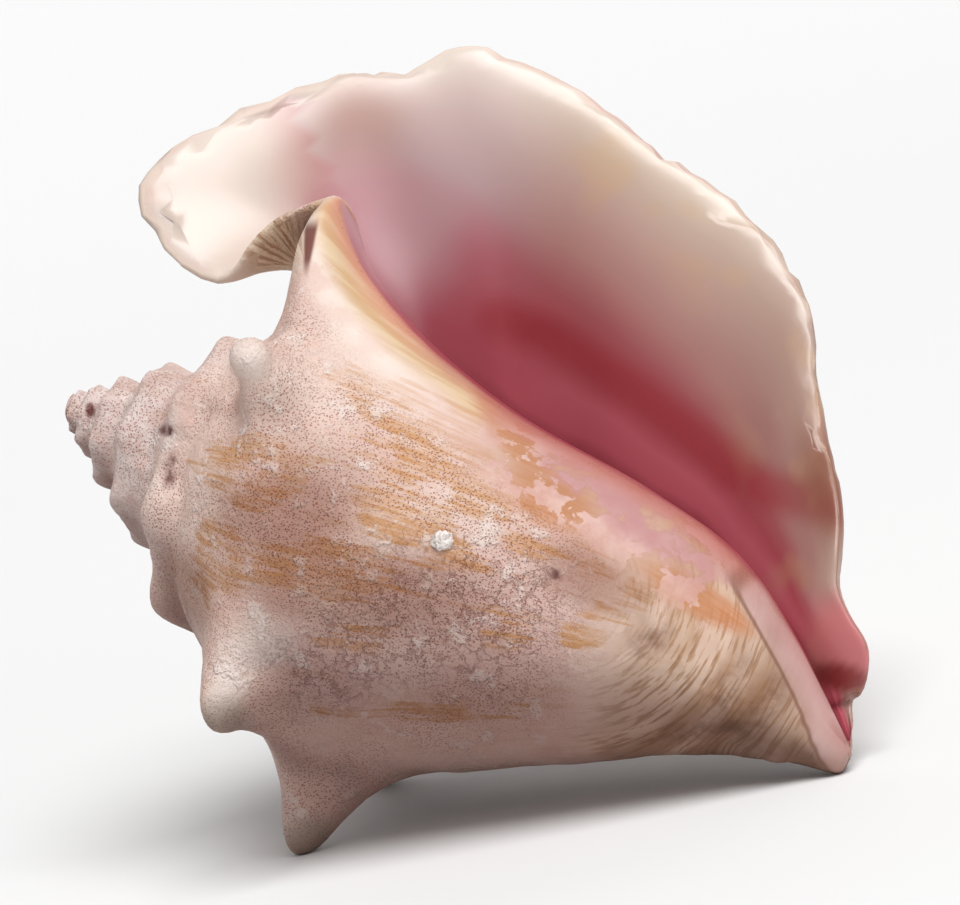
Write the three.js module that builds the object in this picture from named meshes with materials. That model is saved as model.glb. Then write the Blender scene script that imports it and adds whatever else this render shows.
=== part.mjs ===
// A large sea conch shell, grown in one piece: a knobbed spire, a heavy body whorl with blunt spines,
// a canal at the far end and a wide flared lip. Millimetres, Z up, resting on two spines and the canal end.
import * as THREE from "three";

// Growth. The shell is a tube wound round an axis. The axis runs along x, from the apex (x = 0) to
// the canal end. Angle 0 faces the front, 90 down, 180 back, 270 up; it keeps counting, turn by turn.
const COLS = 48;          // columns in one turn
const STEP = 360 / COLS;  // degrees between columns
const TURN_GROWTH = 1.6;  // how much larger each turn is than the one before it
const APEX_COL = -252;    // first column of the spire
const DEEP_COL = 2;       // where the hollow behind the lip ends
const FREE_COL = 20;      // where the last turn starts to swing out into the lip
const RIM_COL = 36;       // last column, the edge of the lip
const SEAM = 7;           // row of a turn on which the next turn is seated
const SHOULDER = 6;       // row of the knobs and spines
const ROWS = 27;          // last row, at the canal end
const CANAL_END = 237;    // distance of the canal end from the apex
const CANAL_END_RADIUS = 5.5;
const CANAL_BEND = 12.5;  // how far the canal end is bent down
const BEND_FROM = 185;
const SPIRE_LEAN = 1.8;   // how far the apex leans up
const LEAN_FROM = 62;

// Wall
const WALL_BODY = 5.5;
const WALL_RIM = 3.2;
const CORNER_ROWS = 5;    // rows over which the wall thickens into the seam

// Knobs on the spire
const KNOBS_A_TURN = 7.5;
const APEX_LENGTH = 4;    // how much the tip of the spire is drawn out
const KNOB_HEIGHT = 6;    // on the largest turn; the others scale with their turn

// How it rests: roughly where its two spines and its canal end touch the ground, which way is up,
// and which side, the open one, is turned to the front (-Y)
const FEET = [[107, -8, 87], [99, -73, 69], [237, -2, 17]];
const ROUGHLY_UP = [-0.47, 0.32, -0.82];
const FRONT = [0.3256, 0.9455, 0];

// Rows that belong to the outline points of a turn, suture to canal end
const STATION_ROWS = [0, 3, 6, 8, 11, 14, 17, 20.5, 24, 27];

// Outline of the shell at some angles, as distance from the apex and radius about the axis
const OUTLINES = [
  { at: -345, pts: [[36.4, 25], [44, 28.5], [51.3, 38.4], [63, 40.5], [75, 39],
    [93, 32], [121, 23], [162, 14], [198, 8], [236, 1.6]] },
  { at: -255, pts: [[39.6, 27.2], [47.9, 31], [55.9, 41.9], [68, 44.5], [78, 42.5],
    [95, 36.5], [123, 27], [163, 18], [199, 10], [236, 2]] },
  { at: -180, pts: [[43.6, 29.9], [52.7, 34.1], [61, 46], [69, 49], [79, 47],
    [95, 42], [124, 33], [165, 23], [200, 14], [236, 2.6]] },
  { at: -135, pts: [[46.5, 32], [54, 37], [58.5, 51], [63, 57], [74, 54],
    [93, 48], [124, 38], [165, 29], [201, 19], [237, 3]] },
  { at: -90, pts: [[49.6, 34], [54.5, 43.5], [50, 66.5], [53.5, 79.5], [69.5, 65],
    [92, 52], [124.5, 41], [165, 34.2], [201, 23.9], [237, 3.5]] },
  { at: -67.5, pts: [[51, 35], [57.5, 42.5], [60, 57], [65, 62], [81, 57],
    [104, 49.5], [134, 41], [171, 33], [203.5, 22], [237, 3.8]] },
  { at: -45, pts: [[52.5, 36], [61, 43], [69, 51], [76, 53], [92, 51],
    [115, 46.5], [142, 40.5], [175, 32], [206, 20], [237, 4]] },
  { at: 0, pts: [[55.1, 37.8], [64, 45], [76, 53], [86, 55.5], [103, 54],
    [124, 49], [149, 42.5], [180, 32.5], [209, 19], [237, 4.5]] },
  { at: 90, pts: [[62, 42.5], [69.5, 48.5], [94, 63], [106, 63.5], [128, 57.5],
    [150, 47.5], [172, 38], [196, 26], [216, 15.5], [237, 5]] },
  { at: 135, pts: [[64.5, 45.5], [74, 52], [98, 66], [110, 66], [132, 60],
    [154, 51], [176, 41], [199, 28], [218, 16.5], [237, 5.2]] },
  { at: 180, pts: [[65.5, 47.5], [76, 56], [101, 68], [113, 68.5], [135, 64],
    [157, 55], [179, 45], [201, 31], [219, 18], [237, 5.5]] },
];

// Outline of a spire turn in units of its own size, suture to the seam of the next turn
const SPIRE_TURN = [[62, 42.5], [66.5, 42.5], [71, 44], [75, 48.5], [79, 55], [83, 61], [87.5, 65.5], [99.2, 68]];

// Spines on the shoulder: angle, row, tip as distance and radius, half width in columns and rows
const SPINES = [
  { at: -30, row: 6.3, tip: [68, 64], cols: 3.0, rows: 2.8 },
  { at: 53, row: 6.4, tip: [89, 75], cols: 3.2, rows: 3.0 },
  { at: 93, row: 7.9, tip: [106.5, 88.6], cols: 2.9, rows: 3.0 },
  { at: 138, row: 6.8, tip: [98, 101.5], cols: 3.0, rows: 3.1 },
];

// Edge of the lip from the arch beside the spire to the canal, each point as x, y (front), z (down)
const RIM = [
  [52.8, 4, -75.5], [39.5, 1.5, -63], [30.0, -5, -46.2], [3.5, -10, -54.0], [-5.8, -15, -69.1],
  [3.5, -24, -87.5], [23.5, -35, -109], [38.5, -39, -117], [49.8, -42, -124], [59.5, -44, -133],
  [81, -45, -132], [97.5, -44.5, -129.5], [115.2, -43, -123.5], [132, -41, -118.5], [152, -38, -112.5],
  [170, -35, -103], [182, -31, -91.5], [189.5, -27, -78], [200, -22, -62.5], [209.8, -14, -50],
  [216.5, -8, -37.5], [219.5, -6, -27.5], [226.5, -5, -20], [232.8, -5, -14.6], [234.4, -6.5, -5.4],
  [232.2, -9, -1.5], [235, -6.5, 3.6],
];

// Where the lobe of the lip beside the spire fans out from, and the points its rows pass behind the arch
const LOBE_ROOT = [60, -25, -75];
const WAIST_AT = 0.65;
const WAIST = [
  [60, -37, -41], [56, -40, -46], [55, -40, -53], [56, -40, -60], [58, -42, -66], [62, -44, -71], [69, -46, -75],
];

const rad = (degrees) => degrees * Math.PI / 180;
const mix = (a, b, t) => a + (b - a) * t;
const ease = (t) => { const s = Math.min(1, Math.max(0, t)); return s * s * (3 - 2 * s); };

// A smooth curve through values placed at rising positions
function through(places, values, at) {
  let k = 0;
  while (k < places.length - 2 && at > places[k + 1]) k++;
  const slope = (n) => {
    if (n <= 0) return (values[1] - values[0]) / (places[1] - places[0]);
    if (n >= places.length - 1) return (values[n] - values[n - 1]) / (places[n] - places[n - 1]);
    return (values[n + 1] - values[n - 1]) / (places[n + 1] - places[n - 1]);
  };
  const h = places[k + 1] - places[k], t = Math.min(1, Math.max(0, (at - places[k]) / h));
  const t2 = t * t, t3 = t2 * t;
  return (2 * t3 - 3 * t2 + 1) * values[k] + (t3 - 2 * t2 + t) * h * slope(k)
    + (3 * t2 - 2 * t3) * values[k + 1] + (t3 - t2) * h * slope(k + 1);
}

// A point from its distance along the axis, its radius and its angle; the canal bends down and the
// spire leans up
function place(x, radius, angle) {
  const canal = Math.max(0, (x - BEND_FROM) / (CANAL_END - BEND_FROM));
  const apex = Math.max(0, 1 - x / LEAN_FROM);
  const bend = CANAL_BEND * canal ** 1.6 - SPIRE_LEAN * apex ** 1.3;
  return new THREE.Vector3(x, radius * Math.cos(rad(angle)), radius * Math.sin(rad(angle)) + bend);
}

// Knobs stand along the cone of the spire, one to each 48 degrees, low and blunt
function knob(angle, row) {
  const wave = Math.cos(rad(angle * KNOBS_A_TURN)) * 0.5 + 0.5;
  const across = Math.max(0, 1 - Math.abs(row - SHOULDER + 0.2) / 2.6);
  return wave ** 1.5 * across ** 1.3;
}

// The plain surface of the turns, before spines
function turnSurface(angle, row) {
  if (angle < OUTLINES[0].at) {
    const size = TURN_GROWTH ** ((angle - 90) / 360);
    const places = SPIRE_TURN.map((_, n) => n);
    const x = through(places, SPIRE_TURN.map((p) => p[0]), row) * size;
    const radius = through(places, SPIRE_TURN.map((p) => p[1]), row) * size;
    const lift = KNOB_HEIGHT * size * knob(angle, row);
    return place(x - lift * 0.6 - APEX_LENGTH * (1 - size / 0.587) ** 2, radius + lift * 0.8, angle);
  }
  const places = OUTLINES.map((o) => o.at);
  const xs = [], radii = [];
  for (let n = 0; n < STATION_ROWS.length; n++) {
    xs.push(through(places, OUTLINES.map((o) => o.pts[n][0]), angle));
    radii.push(through(places, OUTLINES.map((o) => o.pts[n][1]), angle));
  }
  const x = through(STATION_ROWS, xs, row), radius = through(STATION_ROWS, radii, row);
  const fade = 1 - ease((angle + 230) / 90);
  const lift = row <= SEAM ? KNOB_HEIGHT * 0.7 * fade * knob(angle, row) : 0;
  return place(x - lift * 0.6, radius + lift * 0.8, angle);
}

// Spines draw the surface round them out to their tips
function withSpines(point, angle, row) {
  for (const spine of SPINES) {
    const along = (angle - spine.at) / (spine.cols * STEP), across = (row - spine.row) / spine.rows;
    const off = Math.hypot(along, across);
    if (off >= 1) continue;
    const base = turnSurface(spine.at, spine.row), tip = place(spine.tip[0], spine.tip[1], spine.at);
    const rise = (1 - off ** 2.4) ** 1.9;
    const draw = 1.5 * off * (1 - off) ** 1.2;
    point.lerp(base, draw).addScaledVector(tip.clone().sub(base), rise);
  }
  return point;
}

// Grid of the outside of the shell; a turn starts on the seam row of the turn before it
const plain = new Map(), spined = new Map();
function smooth(col, row) {
  if (row === 0 && col >= APEX_COL + COLS) return outer(col - COLS, SEAM);
  const key = `${col},${row}`;
  if (!plain.has(key)) plain.set(key, col > FREE_COL ? lipPoint(col, row) : turnSurface(col * STEP, row));
  return plain.get(key);
}
function outer(col, row) {
  if (row === 0 && col >= APEX_COL + COLS) return outer(col - COLS, SEAM);
  const key = `${col},${row}`;
  if (!spined.has(key)) spined.set(key, withSpines(smooth(col, row).clone(), col * STEP, row));
  return spined.get(key);
}

// The path of one row of the lip, from where the last turn leaves the coil to the edge of the lip
function lipPath(row) {
  const start = turnSurface(FREE_COL * STEP, row);
  const end = new THREE.Vector3(...RIM[row]);
  const reach = start.distanceTo(end);
  const leave = start.clone().sub(turnSurface((FREE_COL - 1) * STEP, row));
  leave.setLength(reach * 1.05);
  const flare = end.clone().sub(start).normalize().add(new THREE.Vector3(0, -0.45, 0)).normalize();
  const fan = end.clone().sub(new THREE.Vector3(...LOBE_ROOT)).normalize();
  flare.lerp(fan, 1 - ease((row - 4) / 5)).normalize().multiplyScalar(reach * 0.9);
  return (t) => {
    const t2 = t * t, t3 = t2 * t;
    return new THREE.Vector3()
      .addScaledVector(start, 2 * t3 - 3 * t2 + 1).addScaledVector(leave, t3 - 2 * t2 + t)
      .addScaledVector(end, 3 * t2 - 2 * t3).addScaledVector(flare, t3 - t2);
  };
}

// Rows beside the spire are pulled in behind the arch on their way; the pull fades along the lip
function lipPoint(col, row) {
  if (row === ROWS) return place(CANAL_END, CANAL_END_RADIUS, col * STEP);
  const t = (col - FREE_COL) / (RIM_COL - FREE_COL);
  const swell = (u) => u ** 2 * (1 - u) ** 1.1;
  const waistRow = Math.min(row, WAIST.length - 1);
  const shift = new THREE.Vector3(...WAIST[waistRow]).sub(lipPath(waistRow)(WAIST_AT));
  const pull = swell(t) / swell(WAIST_AT) * (1 - ease((row - waistRow) / 7));
  return lipPath(row)(t).addScaledVector(shift, pull);
}

// Inside of the lip and of the last turn, one wall thickness in from the outside without its spines
function wallPoint(col, row) {
  const next = smooth(Math.min(col + 1, RIM_COL), row), last = smooth(col - 1, row);
  const below = smooth(col, Math.min(row + 1, ROWS)), above = smooth(col, row - 1);
  const outward = next.clone().sub(last).cross(below.clone().sub(above)).normalize();
  let wall = mix(WALL_BODY, WALL_RIM, ease((col - FREE_COL) / (RIM_COL - FREE_COL)));
  if (row > 20) wall *= 1 - 0.75 * (row - 20) / 7;
  return smooth(col, row).clone().addScaledVector(outward, -wall);
}

// The hollow ends against the turn before it: at the seam in a thick corner, at the canal in a thin one
const inside = new Map();
function inner(col, row) {
  const core = outer(col - COLS, row === ROWS ? ROWS : SEAM + 1);
  if (row === 0 || row === ROWS) return core;
  const key = `${col},${row}`;
  if (!inside.has(key)) {
    const point = wallPoint(col, row);
    if (row < CORNER_ROWS) {
      const fill = core.clone().lerp(wallPoint(col, CORNER_ROWS), row / CORNER_ROWS);
      point.lerp(fill, 1 - ease((col - 24) / 8));
    }
    inside.set(key, point);
  }
  return inside.get(key);
}

// Mesh building: triangles are kept as triples of points
const triangles = [];
function tri(a, b, c) { if (a !== b && b !== c && c !== a) triangles.push([a, c, b]); }
function quad(a, b, c, d) {
  if (a.distanceToSquared(c) <= b.distanceToSquared(d)) {
    tri(a, b, c);
    tri(a, c, d);
  } else {
    tri(a, b, d);
    tri(b, c, d);
  }
}

// Two lines of points with shared ends, closed by the shortest cross links
function zip(left, right) {
  let a = 0, b = 0;
  while (a < left.length - 1 || b < right.length - 1) {
    const stepLeft = a < left.length - 1 ? left[a + 1].distanceToSquared(right[b]) : Infinity;
    const stepRight = b < right.length - 1 ? left[a].distanceToSquared(right[b + 1]) : Infinity;
    if (stepLeft <= stepRight) tri(left[a], left[++a], right[b]);
    else tri(left[a], right[b + 1], right[b++]);
  }
}

const range = (from, to) =>
  Array.from({ length: Math.abs(to - from) + 1 }, (_, n) => from + Math.sign(to - from) * n);

// One column of the outside, from one row to another
function strip(col, from, to) {
  for (let row = from; row < to; row++) {
    quad(outer(col, row), outer(col, row + 1), outer(col + 1, row + 1), outer(col + 1, row));
  }
}

function spire() {
  for (let col = APEX_COL; col < RIM_COL - COLS; col++) strip(col, 0, SEAM);
  const apex = place(1.2, 0, 0);
  const loop = [...range(APEX_COL, APEX_COL + COLS - 1).map((c) => outer(c, 0)),
    ...range(SEAM, 1).map((r) => outer(APEX_COL, r))];
  for (let n = 0; n < loop.length; n++) tri(apex, loop[n], loop[(n + 1) % loop.length]);
}

function bodyWhorl() {
  for (let col = RIM_COL - COLS; col < RIM_COL; col++) strip(col, 0, ROWS);
}

function hollow() {
  for (let col = DEEP_COL; col < RIM_COL; col++) {
    for (let row = 0; row < ROWS; row++) {
      quad(inner(col, row), inner(col + 1, row), inner(col + 1, row + 1), inner(col, row + 1));
    }
    strip(col - COLS, SEAM + 1, ROWS);
  }
  const core = DEEP_COL - COLS;
  zip(range(0, ROWS).map((r) => inner(DEEP_COL, r)), range(SEAM + 1, ROWS).map((r) => outer(core, r)));
}

function rimAndCanalEnd() {
  for (let row = 0; row < ROWS; row++) {
    quad(outer(RIM_COL, row), outer(RIM_COL, row + 1), inner(RIM_COL, row + 1), inner(RIM_COL, row));
  }
  const tip = place(CANAL_END + 1.6, 0, 0);
  const ring = range(RIM_COL - COLS, RIM_COL).map((c) => outer(c, ROWS));
  for (let n = 0; n < ring.length; n++) tri(tip, ring[(n + 1) % ring.length], ring[n]);
}

// The plane under all three feet, from the lowest point near each, starting from the rough up direction
function restingUp(points) {
  const up = new THREE.Vector3(...ROUGHLY_UP);
  for (let pass = 0; pass < 5; pass++) {
    const [a, b, c] = FEET.map((foot) => {
      const near = points.filter((p) => p.distanceTo(new THREE.Vector3(...foot)) < 14);
      return near.reduce((low, p) => (p.dot(up) < low.dot(up) ? p : low));
    });
    const normal = b.clone().sub(a).cross(c.clone().sub(a)).normalize();
    up.copy(normal.multiplyScalar(Math.sign(normal.dot(up))));
  }
  return up;
}

// Stand the shell on its feet, open side to the front, centred over the origin
function setDown(geometry) {
  const up = restingUp(triangles.flat());
  const right = new THREE.Vector3(...FRONT).cross(up).negate().normalize();
  const back = up.clone().cross(right);
  geometry.applyMatrix4(new THREE.Matrix4().makeBasis(right, back, up).transpose());
  geometry.computeBoundingBox();
  const box = geometry.boundingBox, middle = box.getCenter(new THREE.Vector3());
  geometry.translate(-middle.x, -middle.y, -box.min.z);
}

function shellGeometry() {
  spire();
  bodyWhorl();
  hollow();
  rimAndCanalEnd();
  const positions = new Float32Array(triangles.length * 9);
  triangles.forEach((t, n) => t.forEach((p, k) => positions.set([p.x, p.y, p.z], n * 9 + k * 3)));
  const geometry = new THREE.BufferGeometry();
  geometry.setAttribute("position", new THREE.BufferAttribute(positions, 3));
  setDown(geometry);
  geometry.computeVertexNormals();
  return geometry;
}

function shellMesh() {
  const material = new THREE.MeshStandardMaterial({ color: 0xe8d3c4, roughness: 0.6, metalness: 0 });
  const mesh = new THREE.Mesh(shellGeometry(), material);
  mesh.name = "shell";
  return mesh;
}

const group = new THREE.Group();
group.name = "conch";
group.add(shellMesh());
export default group;
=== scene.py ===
# %% [markdown]
# # A conch shell in Blender
# A large sea conch lies on two of its spines and the end of its canal, with its open mouth towards us.
# Outside it is chalky, pitted and streaked with ochre. Inside it is smooth and glossy, cream at the
# edge of the lip and deep pink where the mouth goes down into the last turn.
#
# This lesson dresses the plain solid of the shell: it is smoothed, given low relief, marked with
# painted masks, and finished with one layered material.

# %% Load the frame
import bpy
import math
import numpy as np
from mathutils import Matrix, Vector, noise
from mathutils.bvhtree import BVHTree
from mathutils.kdtree import KDTree


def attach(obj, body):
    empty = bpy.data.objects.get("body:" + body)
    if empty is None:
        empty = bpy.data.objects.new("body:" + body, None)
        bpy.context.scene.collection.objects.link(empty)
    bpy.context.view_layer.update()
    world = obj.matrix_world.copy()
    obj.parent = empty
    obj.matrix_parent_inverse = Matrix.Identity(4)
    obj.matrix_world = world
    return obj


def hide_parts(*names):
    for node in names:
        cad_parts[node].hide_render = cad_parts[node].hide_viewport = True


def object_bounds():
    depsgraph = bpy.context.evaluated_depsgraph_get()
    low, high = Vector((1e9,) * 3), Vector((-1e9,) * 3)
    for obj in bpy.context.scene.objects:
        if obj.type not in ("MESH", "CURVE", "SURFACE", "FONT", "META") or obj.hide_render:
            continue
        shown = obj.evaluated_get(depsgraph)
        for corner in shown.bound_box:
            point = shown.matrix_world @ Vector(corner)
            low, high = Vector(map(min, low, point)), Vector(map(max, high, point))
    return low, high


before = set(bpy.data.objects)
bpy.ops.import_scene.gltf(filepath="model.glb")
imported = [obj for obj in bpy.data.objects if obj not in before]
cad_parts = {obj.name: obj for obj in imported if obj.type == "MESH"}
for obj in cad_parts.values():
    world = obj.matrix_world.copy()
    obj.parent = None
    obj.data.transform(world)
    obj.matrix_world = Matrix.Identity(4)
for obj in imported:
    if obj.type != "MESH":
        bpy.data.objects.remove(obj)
cad_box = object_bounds()
print("CAD box", [round(v, 4) for v in (*cad_box[0], *cad_box[1])])

# %% [markdown]
# ## The shell's own directions
# A shell is a tube wound round an axis, so most of its marks follow that axis: growth lines run along
# it and spiral ribs run round it. The shell leans as it rests, so its apex and its three directions
# are written down once, and every mark is then placed in those directions, not in the room's.

# %% Directions of the shell, in metres in the room
APEX = np.array([-0.101781, 0.03264, 0.125328])
ALONG = np.array([0.795913, -0.386774, -0.465755])   # from the apex to the canal end
FRONT = np.array([-0.274087, -0.916167, 0.292429])
DOWN = np.array([-0.539813, -0.105091, -0.835199])


def in_shell(points):
    """Distance along the axis, and the two distances across it, in millimetres."""
    return (points - APEX) @ np.stack([ALONG, FRONT, DOWN], axis=1) * 1000


# %% [markdown]
# ## The camera
# The camera stands where the photographer stood: about a metre away, a little above the shell, and
# tilted sideways. A long lens keeps the proportions flat. It is made first, because places that were
# read off the photograph, in its pixels, are turned into places on the shell with the same numbers.

# %% Camera
PHOTO_WIDTH, PHOTO_HEIGHT = 960, 905
CAMERA_AT = np.array([0.00697, -1.0633, 0.22661])
CAMERA_RIGHT = np.array([0.97565, -0.02741, -0.21763])
CAMERA_UP = np.array([0.21935, 0.12182, 0.96801])
LENS, SENSOR = 151.1, 36.0
PIXEL_MM = 0.273                   # the width of one pixel of the photograph at the shell

camera_back = np.cross(CAMERA_RIGHT, CAMERA_UP)
camera_data = bpy.data.cameras.new("camera")
camera_data.lens, camera_data.sensor_width = LENS, SENSOR
camera_data.clip_start, camera_data.clip_end = 0.05, 100
camera = bpy.data.objects.new("camera", camera_data)
bpy.context.scene.collection.objects.link(camera)
turn = Matrix([CAMERA_RIGHT, CAMERA_UP, camera_back]).transposed()
camera.matrix_world = Matrix.Translation(Vector(CAMERA_AT)) @ turn.to_4x4()
bpy.context.scene.camera = camera


def in_picture(points):
    """Where points in the room fall in the photograph, in its pixels."""
    seen = points - CAMERA_AT
    away = -(seen @ camera_back)
    focal = LENS / SENSOR * PHOTO_WIDTH
    across = PHOTO_WIDTH / 2 + focal * (seen @ CAMERA_RIGHT) / away
    down = PHOTO_HEIGHT / 2 - focal * (seen @ CAMERA_UP) / away
    return np.stack([across, down], axis=1)


print("apex falls at", in_picture(APEX[None]).round(1))

# %% [markdown]
# ## One smooth skin
# The solid has flat facets. A copy of it is merged into one skin, its triangles are paired into
# four-sided faces, and a Subdivision Surface modifier rounds them. Pairing comes first, because
# subdividing triangles leaves small star-shaped dents, and four-sided faces leave none.
#
# Before it is smoothed, the skin is sorted into two parts by its sharp edges: the glazed lining of
# the mouth, and all the rest. The line where they meet over an outward corner is the edge of the lip.

# %% Copy and merge the solid
shell_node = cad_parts["shell"]
shell = bpy.data.objects.new("conch", shell_node.data.copy())
bpy.context.scene.collection.objects.link(shell)
bpy.ops.object.select_all(action="DESELECT")
bpy.context.view_layer.objects.active = shell
shell.select_set(True)
bpy.ops.object.mode_set(mode="EDIT")
bpy.ops.mesh.select_all(action="SELECT")
bpy.ops.mesh.remove_doubles(threshold=0.00001)
bpy.ops.object.mode_set(mode="OBJECT")
shell.data.materials.clear()
print("triangles", len(shell.data.polygons))

# %% Sort the triangles
CANAL_JOINT = 212                  # past this distance from the apex the lining runs into the canal
ARCH_JOINT = (58, -29, -58)        # where the lining meets the wall under the arch
ARCH_JOINT_SIZE = 14


def neighbours(mesh):
    """Pairs of faces that share an edge."""
    by_edge = {}
    for face in mesh.polygons:
        for key in face.edge_keys:
            by_edge.setdefault(key, []).append(face.index)
    return [(key, *pair) for key, pair in by_edge.items() if len(pair) == 2]


def face_at_pixel(mesh, spot):
    """The face that the camera sees at a pixel of the photograph, and the place on it."""
    focal = LENS / SENSOR * PHOTO_WIDTH
    ray = CAMERA_RIGHT * (spot[0] - PHOTO_WIDTH / 2) + CAMERA_UP * (PHOTO_HEIGHT / 2 - spot[1])
    ray = ray / focal - camera_back
    tree = BVHTree.FromPolygons([v.co for v in mesh.vertices], [list(p.vertices) for p in mesh.polygons])
    place, _, index, _ = tree.ray_cast(Vector(CAMERA_AT), Vector(ray).normalized())
    return index, place


def lining_of(mesh, start, sharp):
    """Faces reached from a start face over blunt edges; at a joint each face joins its nearest like."""
    middles = np.array([face.center for face in mesh.polygons], float)
    normals = np.array([face.normal for face in mesh.polygons], float)
    spots = in_shell(middles)
    joint = (spots[:, 0] > CANAL_JOINT)
    joint |= np.linalg.norm(spots - np.array(ARCH_JOINT), axis=1) < ARCH_JOINT_SIZE
    beside = {}
    for _, a, b in neighbours(mesh):
        if not joint[a] and not joint[b] and normals[a] @ normals[b] > math.cos(sharp):
            beside.setdefault(a, []).append(b)
            beside.setdefault(b, []).append(a)
    reached, waiting = {start}, [start]
    while waiting:
        for there in beside.get(waiting.pop(), []):
            if there not in reached:
                reached.add(there)
                waiting.append(there)
    member = np.isin(np.arange(len(middles)), list(reached))
    sure = np.flatnonzero(~joint)
    for face in np.flatnonzero(joint):
        alike = sure[normals[sure] @ normals[face] > 0.5]
        member[face] = member[alike[np.argmin(np.linalg.norm(middles[alike] - middles[face], axis=1))]]
    return member


lining_faces = lining_of(shell.data, face_at_pixel(shell.data, (640, 280))[0], math.radians(40))
shell.data.materials.append(None)
shell.data.materials.append(None)
shell.data.polygons.foreach_set("material_index", lining_faces.astype(np.int32))
print("lining", int(lining_faces.sum()), "of", len(lining_faces), "triangles")


# %% The line of the lip's edge
def lip_line(mesh):
    """Points along the edge of the lip: where lining and outside meet over an outward corner."""
    found = []
    for key, a, b in neighbours(mesh):
        if lining_faces[a] != lining_faces[b]:
            one, other = mesh.polygons[a], mesh.polygons[b]
            if one.normal.dot(other.center - one.center) < 0 and one.normal.angle(other.normal) > 0.7:
                ends = [np.array(mesh.vertices[k].co) for k in key]
                found += [ends[0] + (ends[1] - ends[0]) * t for t in np.linspace(0, 1, 6)]
    return np.array(found)


lip_points = lip_line(shell.data)
lip_places = in_shell(lip_points)
print("edge of the lip runs from", lip_places.min(0).round(), "to", lip_places.max(0).round())

# %% Pair the triangles
bpy.ops.object.mode_set(mode="EDIT")
bpy.ops.mesh.select_all(action="SELECT")
bpy.ops.mesh.tris_convert_to_quads(face_threshold=math.radians(60), shape_threshold=math.radians(70),
                                   materials=True)
bpy.ops.object.mode_set(mode="OBJECT")
sides = np.array([len(p.vertices) for p in shell.data.polygons])
print("faces", len(sides), "of which four-sided", int((sides == 4).sum()))

# %% [markdown]
# A rounded skin shrinks away from the corners it was made from: spines lose their tips and a thin lip
# loses its outline. So the corners are first moved out by as much as rounding pulls them in. Three
# turns of this are enough for the rounded skin to pass through the places of the solid's own corners.

# %% Round the skin
def places(mesh):
    """The places of all points of a mesh."""
    spots = np.empty(len(mesh.vertices) * 3, np.float32)
    mesh.vertices.foreach_get("co", spots)
    return spots.reshape(-1, 3).astype(float)


smoothing = shell.modifiers.new("round", "SUBSURF")
smoothing.levels = smoothing.render_levels = 2
wanted = places(shell.data)
corners_at = wanted.copy()
ROUNDING_TURNS, ROUNDING_SHARE = 3, 0.9
for turn_number in range(ROUNDING_TURNS + 1):
    rounded = shell.evaluated_get(bpy.context.evaluated_depsgraph_get()).to_mesh()
    missed = wanted - places(rounded)[:len(wanted)]
    print("rounding misses the corners by up to", round(float(np.abs(missed).max()) * 1000, 2), "mm")
    if turn_number < ROUNDING_TURNS:
        corners_at += missed * ROUNDING_SHARE
        shell.data.vertices.foreach_set("co", corners_at.astype(np.float32).ravel())
        shell.data.update()
bpy.ops.object.modifier_apply(modifier=smoothing.name)
bpy.ops.object.shade_smooth()
mesh = shell.data
print("skin has", len(mesh.polygons), "faces")


def outward():
    """The direction in which the skin faces at each of its points."""
    facing = np.empty(len(mesh.vertices) * 3, np.float32)
    mesh.vertices.foreach_get("normal", facing)
    return facing.reshape(-1, 3).astype(float)


# %% [markdown]
# ## Where is what on the skin
# Paint needs masks: how much a point belongs to the lining, how far it is from the edge of the lip,
# how far it is from the brink where the outside rolls over into the mouth. A mask is a number at each
# point of the skin, so it sits still whatever the view, and the material reads it by name.

# %% Membership of lining and lip edge
part = np.empty(len(mesh.polygons), np.int32)
mesh.polygons.foreach_get("material_index", part)
corners = np.empty(len(mesh.loops), np.int32)
mesh.loops.foreach_get("vertex_index", corners)
face_of_corner = np.repeat(np.arange(len(mesh.polygons)), [p.loop_total for p in mesh.polygons])
faces_here = np.bincount(corners, minlength=len(mesh.vertices))


def share_of(which):
    """Share of the faces round each point that belong to one part of the skin."""
    hits = (part[face_of_corner] == which).astype(float)
    return np.bincount(corners, weights=hits, minlength=len(mesh.vertices)) / faces_here


points, facing = places(mesh), outward()
shell_place = in_shell(points)
pixel = in_picture(points)


def spread(values, times):
    """The same mask with its steps softened: each point takes the mean of itself and its neighbours."""
    ends = np.empty(len(mesh.edges) * 2, np.int32)
    mesh.edges.foreach_get("vertices", ends)
    one, other = ends.reshape(-1, 2).T
    count = 1 + np.bincount(one, minlength=len(values)) + np.bincount(other, minlength=len(values))
    for _ in range(times):
        total = np.bincount(one, values[other], len(values)) + np.bincount(other, values[one], len(values))
        values = (values + total) / count
    return values


lining = share_of(1)
lining = np.where(shell_place[:, 0] > CANAL_JOINT, spread(lining, 8), lining)


def soft(value, low, high):
    """0 below low, 1 above high, with a smooth step between."""
    t = np.clip((value - low) / (high - low), 0, 1)
    return t * t * (3 - 2 * t)


def to_line(line, spots):
    """Distance of spots in the photograph to a line, in pixels, and on which side of it they are."""
    line = np.array(line, float)
    best, side = np.full(len(spots), 1e9), np.zeros(len(spots))
    for a, b in zip(line[:-1], line[1:]):
        run = b - a
        t = np.clip(((spots - a) @ run) / (run @ run), 0, 1)
        gap = spots - a - t[:, None] * run
        distance = np.hypot(gap[:, 0], gap[:, 1])
        nearer = distance < best
        best[nearer] = distance[nearer]
        side[nearer] = np.sign(run[0] * gap[:, 1] - run[1] * gap[:, 0])[nearer]
    return best, side


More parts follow.
